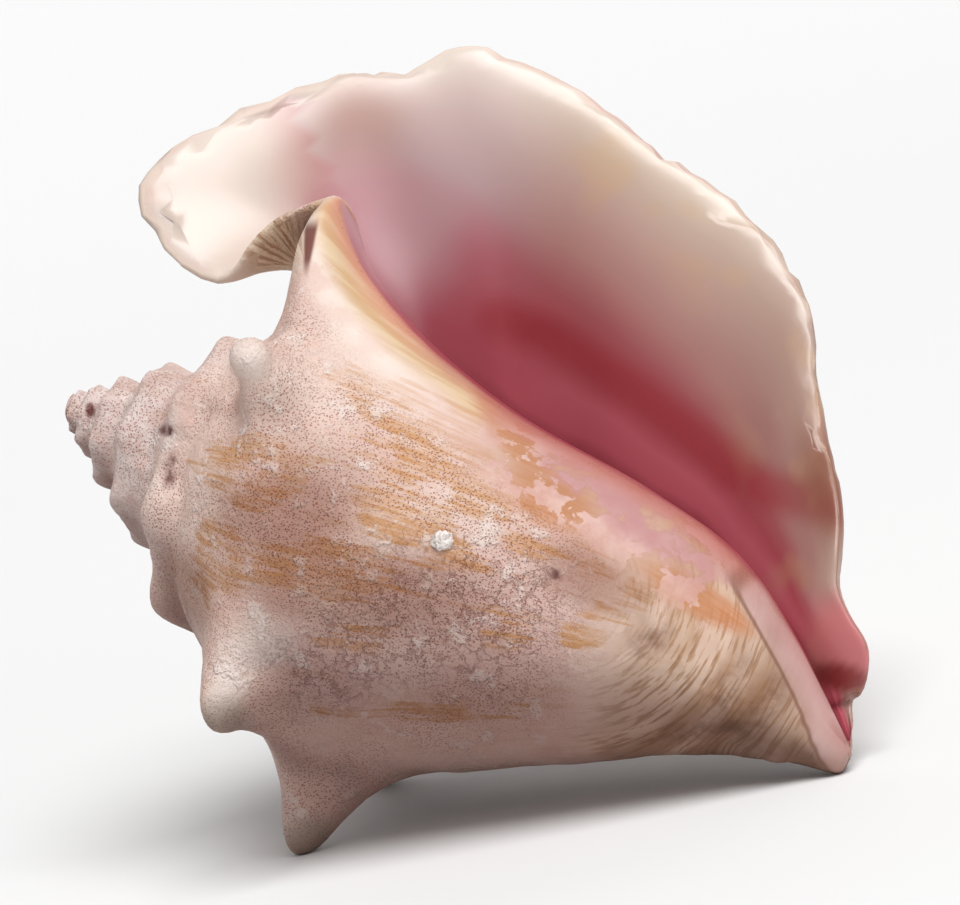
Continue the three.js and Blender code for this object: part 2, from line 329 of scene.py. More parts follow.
# %% Distance from the edge of the lip
lip_tree = KDTree(len(lip_points))
for order, spot in enumerate(lip_points):
    lip_tree.insert(spot, order)
lip_tree.balance()
nearest = [lip_tree.find(p) for p in points]
from_edge = np.array([found[2] for found in nearest]) * 1000
heart = points[(lining > 0.5) & (from_edge > 12)]
heart_tree = KDTree(len(heart))
for order, spot in enumerate(heart):
    heart_tree.insert(spot, order)
heart_tree.balance()
inward = np.array([heart_tree.find(lip)[0] for lip in lip_points]) - lip_points
inward = inward / np.linalg.norm(inward, axis=1)[:, None]
edge_facing = -inward[[found[1] for found in nearest]]
print("farthest from the edge", from_edge.max().round(1), "mm")

# %% The brink of the mouth
# The brink is the line on which the body whorl rolls over into the mouth, as the photograph shows it.
BRINK = [(345, 215), (370, 270), (410, 325), (470, 370), (520, 415), (600, 460), (700, 520), (760, 580),
         (800, 640), (830, 690), (850, 740)]
SIGHT, SIGHT_TILT = 0.16, 0.8      # how far the rays look, in metres, and how much four of them lean
SIGHT_LIFT = 0.0015                # how far above the skin a ray starts, in metres
SPIRE_ENDS = 60                    # distance from the apex, in millimetres
ENOUGH_AT_SPIRE, ENOUGH_PAST_SPIRE = 0.42, 0.16    # share of rays that makes a place lie inside the mouth
NOT_BESIDE_MOUTH = -200            # stands for places that lie nowhere near the brink
INSIDE_MOUTH = 30                  # stands for hidden places past the brink
tree = BVHTree.FromPolygons([Vector(p) for p in points], [list(p.vertices) for p in mesh.polygons])


def looks_at_lining(index):
    """Share of five rays, one straight out and four tilted, that meet the lining nearby."""
    away = Vector(facing[index])
    aside = away.orthogonal().normalized()
    other = away.cross(aside)
    start = Vector(points[index]) + away * SIGHT_LIFT
    hits = 0
    for tilt in (Vector(), aside, -aside, other, -other):
        _, _, face, _ = tree.ray_cast(start, (away + tilt * SIGHT_TILT).normalized(), SIGHT)
        hits += face is not None and part[face] == 1
    return hits / 5


wrapped = np.array([looks_at_lining(i) if lining[i] < 0.5 else 0.0 for i in range(len(points))])
enough = np.where(shell_place[:, 0] > SPIRE_ENDS, ENOUGH_PAST_SPIRE, ENOUGH_AT_SPIRE)
wrapped = spread(wrapped, 8) > enough
gap, side = to_line(BRINK, pixel)
beyond = gap * np.where(side < 0, 1, -1)
towards_us = facing @ camera_back
body = (lining < 0.5) & (wrapped | (towards_us > -0.15))
brink = np.where(body, np.where(wrapped & (beyond < 0) & (towards_us < 0.2), INSIDE_MOUTH, beyond),
                 NOT_BESIDE_MOUTH)
brink = np.where((shell_place[:, 0] < 45) & ~wrapped, NOT_BESIDE_MOUTH, brink)
own = (lining < 0.5).astype(float)
mean_brink = spread(brink * own, 5) / np.maximum(spread(own, 5), 0.001)
brink = np.where(lining < 0.5, mean_brink, NOT_BESIDE_MOUTH)
print("inside the mouth", int(wrapped.sum()), "points")


# %% [markdown]
# ## Low relief
# The real surface is not even. The outside has shallow lumps and ridges where growth paused, and the
# edge of the lip is chipped. Sculpting by hand would give this too, but moving each point by a smooth
# noise is quicker, and it gives the same result on every run.

# %% Lumps, growth ridges and a ragged edge
def lumps(spots, size, seed):
    """Smooth noise between -1 and 1 with bumps of a given size in millimetres."""
    shift = Vector((seed * 17.3, seed * 5.1, seed * 9.7))
    return np.array([noise.noise(Vector(s) / size + shift) for s in spots])


angle = np.arctan2(shell_place[:, 2], shell_place[:, 1])
across = np.hypot(shell_place[:, 1], shell_place[:, 2])
growth = np.stack([shell_place[:, 0] * 0.1,
                   np.cos(angle + shell_place[:, 0] * 0.002) * 50,
                   np.sin(angle + shell_place[:, 0] * 0.002) * 50], axis=1)
towards = facing @ camera_back


def pushed(middle, size, height):
    """A rise or a hollow of a given height in millimetres round a place of the photograph."""
    near = np.hypot(*(pixel - np.array(middle)).T) / size
    return height * soft(near, 1, 0) * soft(towards, 0.0, 0.35) * (lining < 0.5)


# Each rise: its place and its size in pixels of the photograph, and its height in millimetres.
RISES = [((250, 358), 26, 4.6), ((272, 384), 44, 2.4), ((232, 420), 26, -1.4), ((728, 752), 34, -2.2),
         ((775, 762), 26, 1.2), ((218, 400), 22, 1.6), ((165, 432), 9, -1.5), ((186, 425), 16, 1.8)]
shaped = sum(pushed(*rise) for rise in RISES)
rough = (1 - lining) * soft(-brink, 0, 60)
rough = rough * soft(from_edge, 1, 8)
lift = 0.45 * lumps(shell_place, 16, 1) + 0.25 * lumps(shell_place, 6, 2) + 0.2 * lumps(growth, 5, 3)
moved = points + facing * ((lift * rough + shaped) * 0.001)[:, None]
ragged = (0.55 + 0.45 * soft(shell_place[:, 0], 60, 20)) * soft(shell_place[:, 0], 215, 195)
CHIP_DEPTH = 0.005                 # metres
chips = np.clip(0.5 + 0.5 * lumps(points * 1000, 7, 4), 0, 1) + np.clip(lumps(points * 1000, 3.2, 6), 0, 1)
chips = soft(from_edge, 7, 0) * chips ** 1.5 * ragged
moved = moved - edge_facing * (chips * CHIP_DEPTH)[:, None]
moved = np.clip(moved, np.array(cad_box[0]) + 0.0001, np.array(cad_box[1]) - 0.0001)
mesh.vertices.foreach_set("co", moved.astype(np.float32).ravel())
mesh.update()
print("relief up to", round(float(np.abs(lift * rough).max()), 2), "mm")

# %% [markdown]
# ## Masks for paint
# Pink deepens from the edge of the lip to the brink of the mouth, so its mask is a share: 0 at the
# edge and 1 at the brink. The lobe beside the spire stays pale, and the short end beside the canal
# is a strong salmon red. The tips of the spines are worn and a little green.

# %% Masks of the lining
gap_mm = np.where(side < 0, gap, 0) * PIXEL_MM
depth = from_edge / (from_edge + gap_mm + 0.01)
CREASE = [(322, 60), (335, 130), (345, 200), (385, 260), (430, 320)]
crease_gap, crease_side = to_line(CREASE, pixel)
lobe = soft(crease_gap * np.where(crease_side > 0, 1, -1), -14, 92)
lobe = lobe * (1 - soft(pixel[:, 0], 290, 335) * soft(pixel[:, 1], 170, 225))
# The dark red line in the lining: partly its own deep colour, partly painted shade where the lining faces
# down.
CRIMSON_SHADE_LINE = [(500, 318), (545, 335), (590, 362), (637, 394), (700, 442), (733, 470), (771, 490), (833, 505)]
crimson_line_and_shade = soft(to_line(CRIMSON_SHADE_LINE, pixel)[0], 34, 6)


def dabs(spots):
    """A mask of soft ovals in the photograph: middle, half width, half height, and tilt in degrees."""
    mask = np.zeros(len(pixel))
    for x, y, wide, high, tilt in spots:
        turn = math.radians(tilt)
        gap = pixel - np.array([x, y])
        along = gap[:, 0] * math.cos(turn) + gap[:, 1] * math.sin(turn)
        over = gap[:, 1] * math.cos(turn) - gap[:, 0] * math.sin(turn)
        mask = np.maximum(mask, soft(np.hypot(along / wide, over / high), 1.35, 0.5))
    return mask


# Each oval: across and down in the photograph, half width, half height, in pixels, and tilt.
ROSE_OVALS = [(478, 330, 70, 40, 42), (485, 262, 34, 50, -30)]
# Pale pink-violet along the soft ridge by the crease: partly its own colour, partly painted light on the
# ridge's lit side.
MAUVE_RIDGE_LIGHT_OVALS = [(358, 200, 24, 54, -16), (388, 256, 24, 50, -34)]
# Painted shade in the lining just beside the crease under the lobe, where the wing turns from the light.
CREASE_SHADE_OVALS = [(352, 125, 50, 62, -16)]
BROWN_RIM_OVALS = [(830, 480, 30, 66, -8)]
CANAL_MOUTH_OVALS = [(852, 640, 52, 46, 40)]
DEEP_RED_OVALS = [(842, 678, 34, 15, 10)]
shadow_rose = spread(dabs(ROSE_OVALS), 8)
mauve_ridge_light = spread(dabs(MAUVE_RIDGE_LIGHT_OVALS), 8)
crease_shade = spread(dabs(CREASE_SHADE_OVALS), 8)
brown_rim = spread(dabs(BROWN_RIM_OVALS), 4)
near_canal = dabs(CANAL_MOUTH_OVALS)
deep_red = dabs(DEEP_RED_OVALS)

# %% Masks of the outside
front = soft(towards_us, 0.0, 0.3) * (lining < 0.5)
back = (1 - soft(towards_us, -0.3, 0.2)) * (lining < 0.5)
patchy = lumps(shell_place, 26, 5)
OCHRE_OVALS = [(425, 432, 80, 48, 20), (385, 392, 80, 20, 16), (405, 515, 60, 26, 20),
               (250, 470, 60, 44, 10), (215, 560, 30, 60, 0), (330, 570, 80, 30, 5),
               (350, 640, 60, 16, -5), (510, 645, 34, 30, 40), (450, 562, 50, 12, 0),
               (535, 548, 40, 16, 10), (480, 505, 34, 18, 20), (420, 712, 130, 14, 0),
               (590, 560, 44, 22, 25), (600, 622, 54, 24, -28), (650, 590, 40, 20, 10)]
OCHRE_GROUND = [(370, 520, 190, 130, 15)]
ORANGE_OVALS = [(517, 440, 17, 62, -38), (550, 500, 46, 26, 25), (700, 600, 60, 16, 30)]
PINK_GLAZE_OVALS = [(580, 480, 46, 18, 32), (650, 528, 90, 24, 36)]
# Painted shade in the valley below the first spine, grey-green, partly the grey of crowded pinholes.
OLIVE_VALLEY_SHADE_OVALS = [(275, 425, 34, 62, -25), (320, 470, 60, 30, 20)]
PALE_OVALS = [(252, 364, 12, 18, -25), (255, 645, 46, 30, -15), (225, 690, 16, 24, 20)]
# Painted shade on the body: its left side under the first spine and its lower part, which turn away from
# the light.
BODY_SHADE_OVALS = [(285, 520, 80, 52, 10), (186, 590, 26, 50, -15), (370, 590, 130, 46, 5),
               (600, 578, 62, 38, 22)]
BROWN_OVALS = [(650, 640, 26, 16, -30), (728, 690, 16, 44, 30), (705, 730, 70, 10, -8),
               (766, 704, 20, 44, 38)]
MAROON_SPOTS = [(166, 430, 9, 6, 0), (171, 470, 6, 18, 10), (553, 574, 5, 7, 0), (90, 410, 5, 8, 0)]
CRACKLE_OVALS = [(470, 620, 130, 84, 10), (330, 660, 70, 50, 0)]
ARCH_OVALS = [(272, 243, 36, 34, 0)]
ochre = front * (dabs(OCHRE_OVALS) * 0.62 + dabs(OCHRE_GROUND) * 0.38)
ochre = np.maximum(ochre, back * (0.3 + 0.3 * soft(patchy, 0.0, 0.5)))
orange = front * dabs(ORANGE_OVALS)
pink_glaze = front * dabs(PINK_GLAZE_OVALS)
olive_valley_shade = front * dabs(OLIVE_VALLEY_SHADE_OVALS)
pale = front * spread(dabs(PALE_OVALS), 2)
painted_body_shade = front * spread(dabs(BODY_SHADE_OVALS), 4)
brown = front * dabs(BROWN_OVALS)
maroon = front * dabs(MAROON_SPOTS)
distance_along = shell_place[:, 0]
pitted = soft(distance_along, 182, 156) * soft(-brink, 42, 84) * soft(from_edge, 6, 20)
crackled = front * dabs(CRACKLE_OVALS) + back * soft(patchy, 0.0, -0.4) * 0.6
flaky = soft(distance_along, 118, 140) * soft(distance_along, 208, 186) * soft(-brink, 98, 56)
flaky = flaky * (brink > -190) * (lining < 0.5)
columella = soft(distance_along, 190, 206) * soft(-brink - (distance_along - 228) * 0.35, 42, 30)
columella = columella * (brink > -190) * (lining < 0.5)
lip_back = soft(from_edge, 34, 10) * soft(distance_along, 120, 70) * (lining < 0.5)
NECK_GLAZE = [(332, 212), (340, 250), (362, 292), (400, 334), (452, 376), (480, 400)]
neck = soft(to_line(NECK_GLAZE, pixel)[0], 30, 6) * front
arch = dabs(ARCH_OVALS) * (lining < 0.5) * (distance_along < 62) * soft(towards_us, -0.4, 0.0)
canal = soft(distance_along, 156, 200)
# Painted shade: skin that faces down is darkened for the shade under the shell, with some brown staining in
# it.
underside_shade = spread(soft(-facing[:, 2], -0.05, 0.5), 12) * (lining < 0.5)
spire = soft(distance_along, 62, 34) * (across < 62) * (1 - lip_back)
mean_place = np.stack([spread(points[:, n], 6) for n in range(3)], axis=1)
# Dirt and painted shade in hollows: points that lie below the mean place of their neighbours.
hollow_dirt_and_shade = soft(((mean_place - points) * facing).sum(axis=1) * 1000, 0.08, 0.6) * (lining < 0.5)
SPINE_TIPS = [(222, 724), (310, 842)]
tips = np.max([soft(np.hypot(*(pixel - np.array(tip)).T), 40, 12) for tip in SPINE_TIPS], axis=0)
tips = tips * (lining < 0.5)
FAN_MIDDLE = (574, 585)            # the growth lines of the canal are arcs round this place
fan_arm = (pixel - np.array(FAN_MIDDLE)) * PIXEL_MM
fan = np.stack([np.arctan2(fan_arm[:, 1], fan_arm[:, 0]) * 3.6, np.hypot(*fan_arm.T) * 0.8,
                np.where(towards_us > 0, 0.0, 9.0)], axis=1)
SLIT_FOOT = (306, 268)             # under the arch the lines run out like rays from the foot of the slit
ray_arm = pixel - np.array(SLIT_FOOT)
rays = np.stack([np.hypot(*ray_arm.T) * 0.03, np.arctan2(ray_arm[:, 1], ray_arm[:, 0]) * 11,
                 np.full(len(pixel), 20.0)], axis=1)
fan = np.where(arch[:, None] > 0.01, rays, fan)


def clouds(spots, size, seed):
    """Soft cloudy noise between 0 and 1, in three sizes, as a mask of points."""
    return 0.5 + 0.28 * (lumps(spots, size, seed) + 0.5 * lumps(spots, size / 2, seed + 1)
                         + 0.25 * lumps(spots, size / 4, seed + 2))


def keep(name, values):
    """Store a mask on the skin under a name."""
    width = 1 if values.ndim == 1 else 3
    kind = "FLOAT" if width == 1 else "FLOAT_VECTOR"
    field = mesh.attributes.new(name, kind, "POINT")
    field.data.foreach_set("value" if width == 1 else "vector", values.astype(np.float32).ravel())


masks = {"lining": lining, "lip_edge": soft(from_edge, 2.2, 0.4), "from_edge": from_edge,
         "brink": brink, "depth": depth, "lobe": lobe, "crimson_line_and_shade": crimson_line_and_shade, "mauve_ridge_light": mauve_ridge_light,
         "crease_shade": crease_shade, "shadow_rose": shadow_rose, "brown_rim": brown_rim,
         "near_canal": near_canal, "deep_red": deep_red, "ochre": ochre, "orange": orange,
         "pink_glaze": pink_glaze, "olive_valley_shade": olive_valley_shade, "pale": pale, "painted_body_shade": painted_body_shade, "brown": brown,
         "maroon": maroon, "pitted": pitted, "crackled": crackled, "flaky": flaky,
         "columella": columella, "lip_back": lip_back, "neck": neck, "arch": arch, "canal": canal,
         "underside_shade": underside_shade, "spire": spire, "hollow_dirt_and_shade": hollow_dirt_and_shade, "worn": tips, "front": front,
         "distance_along": distance_along, "growth": growth, "fan": fan,
         "broad": clouds(shell_place, 30, 11), "cloud": clouds(shell_place, 28, 21),
         "hole_patch": clouds(shell_place, 20, 31), "blotches": clouds(shell_place, 18, 41),
         "fan_broad": clouds(fan, 5, 51),
         "photo_place": np.pad(pixel, ((0, 0), (0, 1)))}
for name, values in masks.items():
    keep(name, values)
print("masks", len(masks))

# %% [markdown]
# ## A short way to write shader maths
# A material is a net of nodes. Written out node by node it is hard to read, so one small class wraps
# an output of a node and lets it be added, multiplied and compared like a number. One method adds
# any other node.


# %% Value and Finish
class Value:
    """An output of a shader node that can be used in sums."""

    def __init__(self, finish, socket):
        self.finish, self.socket = finish, socket

    def maths(self, operation, *others):
        return self.finish.node("ShaderNodeMath", {"operation": operation},
                                {n: v for n, v in enumerate((self, *others))})

    def __add__(self, other):
        return self.maths("ADD", other)

    def __sub__(self, other):
        return self.maths("SUBTRACT", other)

    def __rsub__(self, other):
        return (self * -1).maths("ADD", other)

    def __mul__(self, other):
        return self.maths("MULTIPLY", other)

    def step(self, low, high):
        """0 below low, 1 above high, smooth between; also falls, when low is above high."""
        ends = (low, high, 0, 1) if low < high else (high, low, 1, 0)
        names = ("From Min", "From Max", "To Min", "To Max")
        return self.finish.node("ShaderNodeMapRange", {"interpolation_type": "SMOOTHSTEP"},
                                {"Value": self, **dict(zip(names, ends))})


class Finish:
    """A material under construction."""

    def __init__(self, name):
        self.material = bpy.data.materials.new(name)
        self.material.use_nodes = True
        self.tree = self.material.node_tree
        self.tree.nodes.clear()
        self.known = {}

    def node(self, kind, settings=None, inputs=None, output=0):
        made = self.tree.nodes.new(kind)
        for key, value in (settings or {}).items():
            setattr(made, key, value)
        for key, value in (inputs or {}).items():
            if isinstance(value, Value):
                self.tree.links.new(value.socket, made.inputs[key])
            else:
                made.inputs[key].default_value = value
        return Value(self, made.outputs[output]) if len(made.outputs) else made

    def mask(self, name, output="Fac"):
        if name not in self.known:
            self.known[name] = self.node("ShaderNodeAttribute", {"attribute_name": name}, output=output)
        return self.known[name]

    def noise(self, where, scale, detail=3, roughness=0.55):
        return self.node("ShaderNodeTexNoise", {}, {"Vector": where, "Scale": scale, "Detail": detail,
                                                   "Roughness": roughness})

    def cells(self, where, scale):
        return self.node("ShaderNodeTexVoronoi", {}, {"Vector": where, "Scale": scale}, "Distance")

    def blend(self, amount, below, above, mode="MIX"):
        return self.node("ShaderNodeMix", {"data_type": "RGBA", "blend_type": mode},
                         {0: amount, 6: below, 7: above}, 2)

    def bump(self, height, distance):
        return self.node("ShaderNodeBump", {}, {"Height": height, "Distance": distance, "Strength": 1.0})


def colour(code):
    """A colour written as six hex digits, as the linear numbers that Blender works in."""
    parts = [int(code[n:n + 2], 16) / 255 for n in (0, 2, 4)]
    return (*[p / 12.92 if p <= 0.04045 else ((p + 0.055) / 1.055) ** 2.4 for p in parts], 1)


# %% [markdown]
# ## The finish of the shell
# The outside is built up in layers, as it came about: cream lime at the bottom, ochre skin left in
# streaks along the growth lines, white chalk over it, dark pinholes bored by sponges, and fine cracks.
# The lining is a second stack of colours under a gloss. Both stacks also hold painted light and shade
# in hollows, valleys, folds and under the shell. The masks join the two.

# %% Outside colours
finish = Finish("shell_finish")
where = finish.node("ShaderNodeTexCoord", output="Object")
grain = finish.mask("growth", "Vector")
arcs = finish.mask("fan", "Vector")
brink_here = finish.mask("brink")
canal_here = finish.mask("canal")
pitted_here = finish.mask("pitted")
underside_shade_here = finish.mask("underside_shade")

broad = finish.mask("broad")
middle = finish.noise(where, 95, 4, 0.62)
outside = finish.blend(broad.step(0.35, 0.68), colour("e8d0c5"), colour("d8b5aa"))
outside = finish.blend(middle.step(0.4, 0.7) * 0.5, outside, colour("eadbd0"))
outside = finish.blend(finish.mask("crackled") * 0.6, outside, colour("c9a8a3"))
outside = finish.blend(finish.mask("spire") * 0.8, outside,
                       finish.blend(middle.step(0.35, 0.65), colour("c8b3ad"), colour("e6dedc")))

# %% Ochre streaks along the growth lines
streak_noise = finish.noise(grain, 0.6, 4, 0.72)
long_noise = finish.noise(grain, 0.3, 3, 0.6)
patch = finish.mask("ochre") * 0.9 + (middle - 0.5) * 1.5 + (long_noise - 0.5) * 1.6
streaks = patch.step(0.42, 0.8) * (streak_noise.step(0.4, 0.62) * 0.65 + 0.35)
outside = finish.blend(streaks * 0.85, outside, colour("c4893f"))
faint = long_noise.step(0.5, 0.7) * broad.step(0.4, 0.6)
outside = finish.blend(faint * 0.3, outside, colour("c29a72"))
# Painted shade in the valley below the first spine, partly the grey of crowded pinholes.
outside = finish.blend(finish.mask("olive_valley_shade") * (middle * 0.5 + 0.45) * 0.55, outside, colour("a58d80"))

# %% Streaks of the canal
arc_noise = finish.noise(arcs, 0.95, 3, 0.58)
arc_broad = finish.mask("fan_broad")
canal_ground = finish.blend(arc_broad.step(0.35, 0.65), colour("d8bca9"), colour("ad8769"))
canal_ground = finish.blend(arc_noise.step(0.49, 0.58) * 0.7, canal_ground, colour("9a6a34"))
canal_ground = finish.blend(arc_noise.step(0.6, 0.67) * 0.5, canal_ground, colour("6e4424"))
towards_tip = finish.mask("distance_along").step(196, 222)
canal_ground = finish.blend(towards_tip * 0.5, canal_ground, colour("7a5236"))
canal_edge = (canal_here + (broad - 0.5) * 0.7).step(0.15, 0.85)
outside = finish.blend(canal_edge * 0.92, outside, canal_ground)
outside = finish.blend(finish.mask("brown") * middle.step(0.3, 0.65) * 0.7, outside, colour("6f452c"))

# %% White chalk, pinholes and cracks
chalk = finish.noise(where, 130, 3, 0.66).step(0.56, 0.66)
outside = finish.blend(chalk * pitted_here * 0.6, outside, colour("f0e6e0"))
hole_distance = finish.cells(where, 1550)
hole_patch = finish.mask("hole_patch").step(0.3, 0.52)
holes = hole_distance.step(0.4, 0.22) * (hole_patch * 0.7 + 0.3) * pitted_here
wander = finish.noise(where, 230, 4, 0.62) - 0.5
cracks = wander.maths("ABSOLUTE").step(0.026, 0.006)
cracks = cracks * middle.step(0.38, 0.5) * (finish.mask("crackled") * 0.88 + 0.12)
cracks = cracks * pitted_here
outside = finish.blend(cracks * 0.5, outside, colour("9e5a4c"))
outside = finish.blend(pitted_here * 0.22, outside, colour("b88d7a"))
outside = finish.blend(holes * 0.72, outside, colour("98412f"))
outside = finish.blend(finish.mask("pale") * (middle * 0.5 + 0.45) * 0.8, outside, colour("ece1d9"))
outside = finish.blend(finish.mask("worn") * (middle * 0.6 + 0.25), outside, colour("989585"))
# Dirt and painted shade in hollows and grooves.
outside = finish.blend(finish.mask("hollow_dirt_and_shade") * 0.45, outside, colour("8a6558"))
outside = finish.blend(finish.mask("maroon") * middle.step(0.35, 0.5), outside, colour("642f2c"))
# Painted shade under the shell, with some brown staining: skin that faces down is multiplied darker.
outside = finish.blend(underside_shade_here * 0.92, outside, colour("ac9a96"), "MULTIPLY")
# Painted shade on the left and lower parts of the body, multiplied in.
outside = finish.blend(finish.mask("painted_body_shade"), outside, colour("cab8b0"), "MULTIPLY")

# %% The glaze over the brink
SLIT_TOP = (311, 224)
orange_here = finish.mask("orange") * (streak_noise.step(0.36, 0.6) * 0.8 + 0.1)
near_spire = finish.mask("distance_along").step(112, 84)
beside_brink = finish.blend(finish.mask("distance_along").step(96, 132), colour("e2cbc0"), colour("cda9a0"))
outside = finish.blend(brink_here.step(-90, -50) * (1 - canal_here) * 0.6, outside, beside_brink)
outside = finish.blend(near_spire * brink_here.step(-70, -40) * middle.step(0.45, 0.6) * 0.6, outside,
                       colour("ecdfd6"))
outside = finish.blend(finish.mask("lip_back") * 0.8, outside, colour("dccabb"))
under_arch = finish.blend(arc_noise.step(0.42, 0.6), colour("ddc6ab"), colour("a67c5a"))
outside = finish.blend(finish.mask("arch") * 0.85, outside, under_arch)
outside = finish.blend(finish.mask("neck") * 0.85, outside,
                       finish.blend(long_noise.step(0.4, 0.62), colour("d9bd93"), colour("c79c66")))
outside = finish.blend(finish.mask("orange") * 0.7, outside, colour("c6805a"))
outside = finish.blend(orange_here * 0.85, outside, colour("b9733a"))
flake_noise = finish.noise(where, 105, 4, 0.6)
flakes = flake_noise.step(0.475, 0.5) * finish.mask("flaky")
flake_colour = finish.blend(middle.step(0.35, 0.65), colour("c99a92"), colour("dab8ae"))
outside = finish.blend(finish.mask("flaky") * 0.6, outside, colour("b4825e"))
outside = finish.blend(flakes * 0.85, outside, flake_colour)
strip = finish.mask("columella")
strip_colour = finish.blend(broad.step(0.4, 0.6), colour("c6a3a0"), colour("ae877c"))
outside = finish.blend(strip * 0.9, outside, strip_colour)
outside = finish.blend(strip.step(0.15, 0.45) * strip.step(0.85, 0.55) * 0.7, outside, colour("74492f"))
thin_glaze = finish.mask("pink_glaze") * flake_noise.step(0.38, 0.5)
outside = finish.blend(thin_glaze * 0.7, outside, colour("b98285"))
salmon = (brink_here + (middle - 0.5) * 14).step(-28, -5) * (1 - strip * 0.7)
salmon_colour = finish.blend(near_spire, colour("bb6c64"), colour("d98f78"))
outside = finish.blend(salmon * 0.8, outside, salmon_colour)

# %% The slit under the arch, painted as a dark stripe of shade
photo_place = finish.node("ShaderNodeSeparateXYZ", {}, {0: finish.mask("photo_place", "Vector")})
photo_x, photo_y = photo_place, Value(finish, photo_place.socket.node.outputs[1])
off_slit = (photo_x - (SLIT_TOP[0] - (photo_y - SLIT_TOP[1]) * 0.1)).maths("ABSOLUTE")
slit_ends = photo_y.step(SLIT_TOP[1] - 8, SLIT_TOP[1] + 6) * photo_y.step(282, 258)
slit = (off_slit + (photo_y - SLIT_TOP[1]) * 0.1).step(9, 5) * slit_ends
slit = slit * finish.mask("distance_along").step(72, 64) * finish.mask("front")
# Painted shade: a dark red-brown stripe on the neck stands for the shade in the slit and the dark red
# inside it.
outside = finish.blend(slit * 0.92, outside, colour("6b2a1c"))

# %% Lining colours
def ramp(level, stops):
    """Colours in a row along a level from 0 to 1."""
    made = finish.tree.nodes.new("ShaderNodeValToRGB")
    while len(made.color_ramp.elements) < len(stops):
        made.color_ramp.elements.new(0.5)
    for element, (spot, code) in zip(made.color_ramp.elements, stops):
        element.position, element.color = spot, colour(code)
    finish.tree.links.new(level.socket, made.inputs[0])
    return Value(finish, made.outputs[0])


cloud = finish.mask("cloud")
level = finish.mask("depth") + (cloud - 0.5) * 0.1
# Near the brink the stops also hold painted light and shade: the dark end at the brink is partly shade deep
# in the mouth, and the lighter band near 0.86 is partly a painted highlight on a glossy fold.
inside = ramp(level, [(0.0, "d6c4b4"), (0.14, "c0a898"), (0.3, "bd9a91"), (0.46, "b78882"), (0.6, "b06468"),
                      (0.72, "b5565f"), (0.86, "ca6875"), (0.96, "c45f6c"), (1.0, "a84b56")])
upper = ramp(level, [(0.0, "e0d0c4"), (0.3, "c9b0ab"), (0.5, "bfa2a4"), (0.68, "bb858b"), (0.85, "b5606b"),
                     (1.0, "b05863")])
inside = finish.blend(finish.mask("distance_along").step(108, 72), inside, upper)
# Painted shade, tan-brown, beside the crease.
inside = finish.blend(finish.mask("crease_shade") * 0.8, inside, colour("b0877a"))
# Painted light on the lit side of the ridge, over its own pale pink-violet.
inside = finish.blend(finish.mask("mauve_ridge_light") * 0.8, inside, colour("e8c2c8"))
inside = finish.blend(finish.mask("shadow_rose") * 0.75, inside, colour("b2505e"))
# Dark red line: own deep colour with painted shade.
inside = finish.blend(finish.mask("crimson_line_and_shade") * 0.8, inside, colour("a84248"))
right_side = finish.mask("distance_along").step(138, 192) * finish.mask("depth").step(0.6, 0.3)
inside = finish.blend(right_side * 0.5, inside, colour("8f6058"))
lobe_colour = finish.blend(finish.mask("blotches") * 0.3, colour("dccdc3"), colour("dcc7ae"))
inside = finish.blend(finish.mask("lobe") * 0.95, inside, lobe_colour)
blotches = finish.mask("blotches").step(0.5, 0.68) * finish.mask("from_edge").step(40, 10)
blotches = blotches * finish.mask("distance_along").step(90, 110)
inside = finish.blend(blotches * 0.4, inside, colour("c9a57c"))
inside = finish.blend(finish.mask("brown_rim") * 0.85, inside, colour("834c3c"))
inside = finish.blend(finish.mask("near_canal") * 0.9, inside, colour("c26e72"))
inside = finish.blend(finish.mask("deep_red") * 0.9, inside, colour("7c2a28"))
edge_here = finish.mask("lip_edge")
pale_edge = edge_here * finish.mask("distance_along").step(196, 172) * 0.6
inside = finish.blend(pale_edge, inside, colour("e4d6ca"))
outside = finish.blend(pale_edge, outside, colour("e4d6ca"))

# %% Gloss, fine relief and the two finishes together
# The outside is rough and has fine relief. The lining is glossy and quite smooth.
glazed = brink_here.step(-60, -6).maths("MAXIMUM", finish.mask("flaky") * 0.6) * (1 - edge_here)
roughness = 0.8 - glazed * 0.52 + (middle - 0.5) * 0.1
relief = finish.noise(where, 460, 3, 0.75) + chalk * 0.4 - holes * 0.16 - cracks * 0.35
relief = relief * (pitted_here * 0.8 + 0.2) * (1 - glazed * 0.95)
outer = finish.node("ShaderNodeBsdfPrincipled", {}, {
    "Base Color": outside, "Roughness": roughness, "IOR": 1.5,
    "Normal": finish.bump(relief, 0.0008)})
inner = finish.node("ShaderNodeBsdfPrincipled", {}, {"Base Color": inside, "Roughness": 0.28, "IOR": 1.5})
lining_here = finish.mask("lining").step(0.3, 0.7)
mouth_wall = brink_here.step(-7, 4)
within = lining_here.maths("MAXIMUM", mouth_wall)
both = finish.node("ShaderNodeMixShader", {}, {0: within, 1: outer, 2: inner})
finish.node("ShaderNodeOutputMaterial", {}, {"Surface": both})
mesh.materials.clear()
mesh.materials.append(finish.material)
mesh.polygons.foreach_set("material_index", np.zeros(len(mesh.polygons), np.int32))
print("finish has", len(finish.tree.nodes), "nodes")

# %% Put the shell in the frame
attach(shell, "root")
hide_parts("shell")

# %% [markdown]
# ## A crust on the body whorl
# A sea animal has left a small chalky crust, five millimetres across, on the middle of the body. It is
# a ball of its own with a lumpy surface, flattened and sunk half into the skin at the place where the
# photograph shows it.

